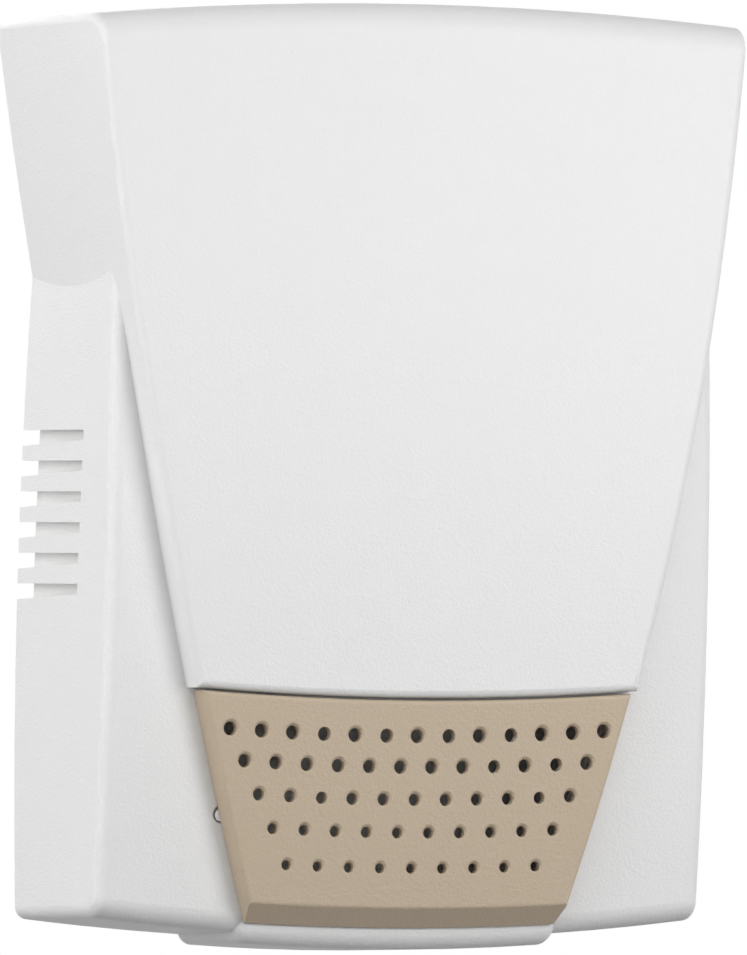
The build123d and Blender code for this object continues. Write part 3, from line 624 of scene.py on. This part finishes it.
def make_world():
    """Even studio air, white where it is seen."""
    world = bpy.data.worlds.new("studio_air")
    bpy.context.scene.world = world
    world.use_nodes = True
    tree = world.node_tree
    background = tree.nodes["Background"]
    background.inputs["Color"].default_value = (1, 1, 1, 1)
    strength = arithmetic(tree, "MULTIPLY_ADD", seen_directly(tree), 1.0 - WORLD_STRENGTH, WORLD_STRENGTH)
    tree.links.new(strength, background.inputs["Strength"])


def make_floor():
    """Plain white floor below the chime, clear to a look from underneath."""
    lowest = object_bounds()[0].z
    bpy.ops.mesh.primitive_plane_add(size=FLOOR_SIZE, location=(0, 0, lowest - FLOOR_DROP))
    floor = bpy.context.active_object
    floor.name = "studio_floor"
    material, tree, shader, coordinates = new_material("floor_paint")
    mix = tree.nodes.new("ShaderNodeMix")
    mix.data_type = "RGBA"
    seen = seen_directly(tree)
    tree.links.new(seen, mix.inputs["Factor"])
    mix.inputs["A"].default_value = (FLOOR_BOUNCE, FLOOR_BOUNCE, FLOOR_BOUNCE, 1)
    mix.inputs["B"].default_value = (0.9, 0.9, 0.9, 1)
    tree.links.new(mix.outputs["Result"], shader.inputs["Base Color"])
    glow = arithmetic(tree, "MULTIPLY", seen, FLOOR_GLOW)
    tree.links.new(glow, shader.inputs["Emission Strength"])
    underside = tree.nodes.new("ShaderNodeNewGeometry")
    clear = tree.nodes.new("ShaderNodeBsdfTransparent")
    either = tree.nodes.new("ShaderNodeMixShader")
    tree.links.new(underside.outputs["Backfacing"], either.inputs[0])
    tree.links.new(shader.outputs["BSDF"], either.inputs[1])
    tree.links.new(clear.outputs["BSDF"], either.inputs[2])
    tree.links.new(either.outputs["Shader"], tree.nodes["Material Output"].inputs["Surface"])
    shader.inputs["Emission Color"].default_value = (1, 1, 1, 1)
    shader.inputs["Roughness"].default_value = 0.9
    paint(floor, material)


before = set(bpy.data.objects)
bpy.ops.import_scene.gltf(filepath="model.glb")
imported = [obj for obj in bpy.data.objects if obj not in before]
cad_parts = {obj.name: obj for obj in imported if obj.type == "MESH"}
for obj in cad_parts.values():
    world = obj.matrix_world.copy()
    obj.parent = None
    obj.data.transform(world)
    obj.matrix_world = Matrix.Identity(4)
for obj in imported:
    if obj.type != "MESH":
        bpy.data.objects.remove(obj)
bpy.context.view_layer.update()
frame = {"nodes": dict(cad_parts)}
deselect_all()

# The cover and the grille have shade painted into their narrow corners.
WHITE_COVER = moulded_plastic("white_cover", srgb(236, 236, 236), 0.38, 4400.0, 0.65, painted_corner_shade=0.4)
BEIGE_GRILLE = moulded_plastic("beige_grille", srgb(193, 176, 153), 0.5, 3400.0, 0.85, painted_corner_shade=0.1,
                              edge_round=0.35 * MM)
WHITE_BASE = moulded_plastic("white_base", srgb(244, 244, 243), 0.5, 3000.0, 0.4)
BAR_STEEL = worked_metal("bar_steel", srgb(200, 200, 198), 0.3, (1, 1, 40))
FRAME_STEEL = worked_metal("frame_zinc", srgb(190, 190, 184), 0.38, (1, 1, 20), tarnish=0.5)
SCREW_STEEL = worked_metal("screw_zinc", srgb(198, 198, 198), 0.3, (1, 1, 1))
CORE_STEEL = worked_metal("core_steel", srgb(186, 186, 188), 0.25, (0.05, 1, 1))
SPRING_STEEL = worked_metal("spring_steel", srgb(196, 196, 200), 0.25, (1, 1, 1))
CLAMP_BRASS = worked_metal("clamp_brass", srgb(208, 178, 112), 0.3, (1, 1, 1))
BLACK_RUBBER = moulded_plastic("black_rubber", srgb(46, 46, 46), 0.75, grain=1800.0, relief=0.4)
BOBBIN_NYLON = moulded_plastic("bobbin_nylon", srgb(226, 222, 208), 0.35, relief=0.1)
TIP_NYLON = moulded_plastic("tip_nylon", srgb(230, 226, 214), 0.35, relief=0.1)
COIL_TAPE = moulded_plastic("coil_tape", srgb(196, 160, 74), 0.3, relief=0.15)
PRESSED_FELT = moulded_plastic("pressed_felt", srgb(140, 138, 134), 0.95, grain=1500.0, relief=1.0)
BROWN_PHENOLIC = moulded_plastic("brown_phenolic", srgb(88, 62, 46), 0.35, relief=0.15)
RED_INSULATION = moulded_plastic("red_insulation", srgb(176, 52, 44), 0.4, relief=0.1)
BLACK_SLEEVE = moulded_plastic("black_sleeve", srgb(40, 40, 42), 0.45, grain=1500.0, relief=0.2)
ENAMELLED_WIRE = worked_metal("enamelled_wire", srgb(178, 98, 56), 0.25, (1, 1, 1), tarnish=0.5)

FINISHES = {
    "cover_shell": WHITE_COVER,
    "grille": BEIGE_GRILLE,
    "base_plate": WHITE_BASE,
    "tone_bar_low": BAR_STEEL,
    "tone_bar_high": BAR_STEEL,
    "tone_bar_grommets": BLACK_RUBBER,
    "tone_bar_screws": SCREW_STEEL,
    "solenoid_frame": FRAME_STEEL,
    "frame_screws": SCREW_STEEL,
    "front_bobbin": BOBBIN_NYLON,
    "rear_bobbin": BOBBIN_NYLON,
    "front_coil": COIL_TAPE,
    "rear_coil": COIL_TAPE,
    "front_plunger_core": CORE_STEEL,
    "rear_plunger_core": CORE_STEEL,
    "front_striker_tips": TIP_NYLON,
    "rear_striker_tip": TIP_NYLON,
    "front_spring_collar": SPRING_STEEL,
    "rear_spring_collar": SPRING_STEEL,
    "front_return_spring": SPRING_STEEL,
    "rear_return_spring": SPRING_STEEL,
    "rear_stop_clip": SPRING_STEEL,
    "rear_stop_washer": PRESSED_FELT,
    "terminal_block": BROWN_PHENOLIC,
    "terminal_clamps": CLAMP_BRASS,
    "terminal_screws": SCREW_STEEL,
    "terminal_block_screws": SCREW_STEEL,
    "coil_leads": RED_INSULATION,
}

for node_name, finish in FINISHES.items():
    paint_node(frame, node_name, finish)

make_camera()
make_world()
make_floor()
for lamp in LAMPS:
    make_lamp(*lamp)

for side in ("front", "rear"):
    spring = copied_node(frame, f"{side}_return_spring", f"{side}_wound_spring")
    paint(spring, SPRING_STEEL)
    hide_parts(f"{side}_return_spring")
    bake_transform(spring)

turns = make_winding_edge()
on_base(turns, ENAMELLED_WIRE)
mirror_turn = Matrix.Rotation(math.pi, 4, "Z")
behind = (0, 2 * CORE_LINE, 0)
drop = COIL_HEIGHTS["rear"] - COIL_HEIGHTS["front"]
for name, offset, turn in (
    ("front_coil_turns_right", behind, mirror_turn),
    ("rear_coil_turns_left", (0, 0, drop), None),
    ("rear_coil_turns_right", (0, behind[1], drop), mirror_turn),
):
    on_base(copy_at(turns, name, offset, turn), ENAMELLED_WIRE)

for side in ("front", "rear"):
    on_base(make_tape_wrap(side), COIL_TAPE)

sleeve = make_lead_sleeve()
on_base(sleeve, BLACK_SLEEVE)
upside_down = Matrix.Translation((0, 2 * LEAD_DEPTH, 0)) @ Matrix.Rotation(math.pi, 4, "X")
for name, offset, turn in (
    ("middle_lead_sleeve", (MIDDLE_LEAD, 0, drop), None),
    ("right_lead_sleeve", (RIGHT_LEAD, 0, drop), None),
    ("jumper_upper_sleeve", (JUMPER_LEAD, 0, 0), None),
    ("jumper_lower_sleeve", (JUMPER_LEAD, 0, COIL_HEIGHTS["front"] + COIL_HEIGHTS["rear"]), upside_down),
):
    on_base(copy_at(sleeve, name, offset, turn), BLACK_SLEEVE)

teeth = make_clamp_tooth()
on_base(teeth, CLAMP_BRASS)
for index, x in enumerate(TERMINAL_XS):
    along = x - TERMINAL_XS[0]
    if index:
        upper = copy_at(teeth, f"clamp_teeth_{index}", (along, 0, 0))
        on_base(upper, CLAMP_BRASS)
    lower = copy_at(teeth, f"clamp_teeth_low_{index}", (along, 0, -TOOTH_ROW_DROP))
    on_base(lower, CLAMP_BRASS)

plug = make_catch_plug()
fix(plug, "cover", WHITE_COVER)
fix(copy_at(plug, "catch_plug_right", (2 * CATCH_X, 0, 0)), "cover", WHITE_COVER)

for x, height in EJECTOR_PLACES:
    on_base(make_ejector_mark(x, height), WHITE_BASE)

bpy.context.scene.view_settings.view_transform = "Standard"
